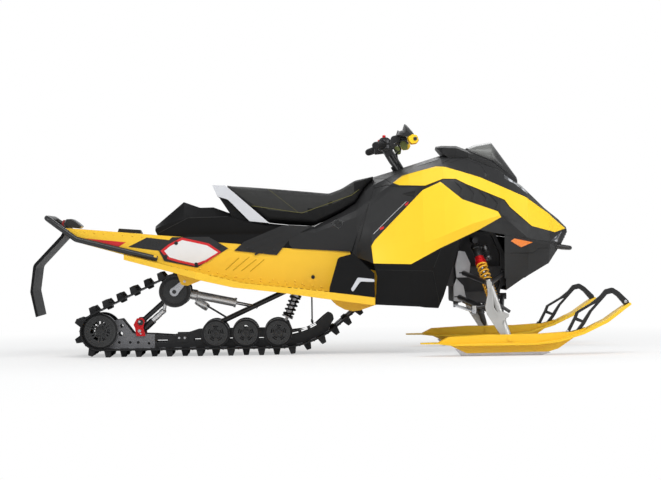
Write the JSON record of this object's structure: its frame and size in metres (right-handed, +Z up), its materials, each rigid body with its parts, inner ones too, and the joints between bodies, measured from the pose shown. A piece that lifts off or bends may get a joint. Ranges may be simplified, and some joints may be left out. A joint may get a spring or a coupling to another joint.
{
  "type": "snowmobile",
  "caption": "Single-seat trail snowmobile with lugged track, steered skis, handlebar and faceted bodywork.",
  "frame": {"origin": "on the ground, under the middle of the machine's box", "axes": "+X forward, +Y to the left, +Z up"},
  "size_m": [2.9236, 1.225, 1.136],
  "materials": {
    "yellow_paint": "satin yellow",
    "yellow_panel": "gloss moulded yellow",
    "black_plastic": "moulded charcoal",
    "black_frame": "black powder coat",
    "rubber": "moulded rubber",
    "seat_vinyl": "charcoal vinyl",
    "pale_trim": "pale grey moulding",
    "aluminium": "cast",
    "dark_aluminium": "anodised",
    "steel": "ground",
    "red_metal": "red anodised",
    "spring": "amber spring",
    "plate": "printed plate",
    "lamp_red": "red lens",
    "lamp_clear": "clear lens",
    "amber": "amber reflector",
    "smoked": "smoked",
    "ski_yellow": "moulded yellow"
  },
  "bodies": {
    "chassis": {"tunnel": "yellow_paint", "running_boards": "yellow_paint", "rear_bumper": "black_frame", "snow_flap": "rubber", "tail_light": "lamp_red", "cargo_base": "black_plastic", "track": "rubber", "slide_rails": "dark_aluminium", "rear_wheels": "black_plastic", "mid_wheels": "black_plastic", "upper_wheels": "black_plastic", "carrier_links": "aluminium", "drive_axle": "dark_aluminium", "rear_arm": "black_frame", "rockers": "red_metal", "front_arm": "black_frame", "centre_shock": "steel", "rear_shock": "steel", "side_panels": "yellow_panel", "lower_panels": "black_plastic", "brow_panels": "yellow_panel", "vent_panels": "black_plastic", "tank_cover": "black_plastic", "console": "black_plastic", "hood": "black_plastic", "nose": "black_plastic", "nose_pan": "black_plastic", "headlights": "lamp_clear", "reflectors": "amber", "front_bumper": "black_frame", "windshield": "smoked", "seat": "seat_vinyl", "seat_trim": "pale_trim", "tail_cover": "black_plastic", "gauge_pod": "black_plastic", "seat_braces": "black_plastic", "number_plates": "plate", "toe_guards": "black_plastic", "engine_block": "aluminium", "bulkhead": "dark_aluminium", "frame_castings": "aluminium", "control_arms": "black_frame", "front_shocks": "spring", "steering_boot": "black_plastic"},
    "handlebar": {"handlebar": "black_frame", "grips": "rubber", "controls": "black_plastic", "hand_guards": "black_plastic"},
    "spindle_right": {"spindle_right": "aluminium"},
    "spindle_left": {"spindle_left": "aluminium"},
    "tie_rods": {"tie_rods": "steel"},
    "ski_right": {"ski_right": "ski_yellow", "ski_loop_right": "black_plastic", "runner_right": "steel"},
    "ski_left": {"ski_left": "ski_yellow", "ski_loop_left": "black_plastic", "runner_left": "steel"}
  },
  "joints": [
    {"name": "steering", "type": "hinge", "parent": "chassis", "child": "handlebar", "pos_m": [0.385, 0, 0.915], "axis": [-0.5, 0, 0.866], "range_deg": [-38, 38]},
    {"name": "kingpin_right", "type": "hinge", "parent": "chassis", "child": "spindle_right", "pos_m": [0.784, -0.505, 0.345], "axis": [-0.329, 0, 0.9443], "range_deg": [-28, 28]},
    {"name": "kingpin_left", "type": "hinge", "parent": "chassis", "child": "spindle_left", "pos_m": [0.784, 0.505, 0.345], "axis": [-0.329, 0, 0.9443], "range_deg": [-28, 28]},
    {"name": "tie_rod_slide", "type": "slide", "parent": "chassis", "child": "tie_rods", "axis": [0, 1, 0], "range_m": [-0.052, 0.052]},
    {"name": "ski_pitch_right", "type": "hinge", "parent": "spindle_right", "child": "ski_right", "pos_m": [0.873, -0.54, 0.081], "axis": [0, 1, 0], "range_deg": [-15, 12]},
    {"name": "ski_pitch_left", "type": "hinge", "parent": "spindle_left", "child": "ski_left", "pos_m": [0.873, 0.54, 0.081], "axis": [0, 1, 0], "range_deg": [-15, 12]}
  ],
  "couplings": [
    {"joint": "kingpin_right", "follows": "steering", "ratio": 0.73},
    {"joint": "kingpin_left", "follows": "steering", "ratio": 0.73},
    {"joint": "tie_rod_slide", "follows": "steering", "m_per_rad": -0.076}
  ]
}
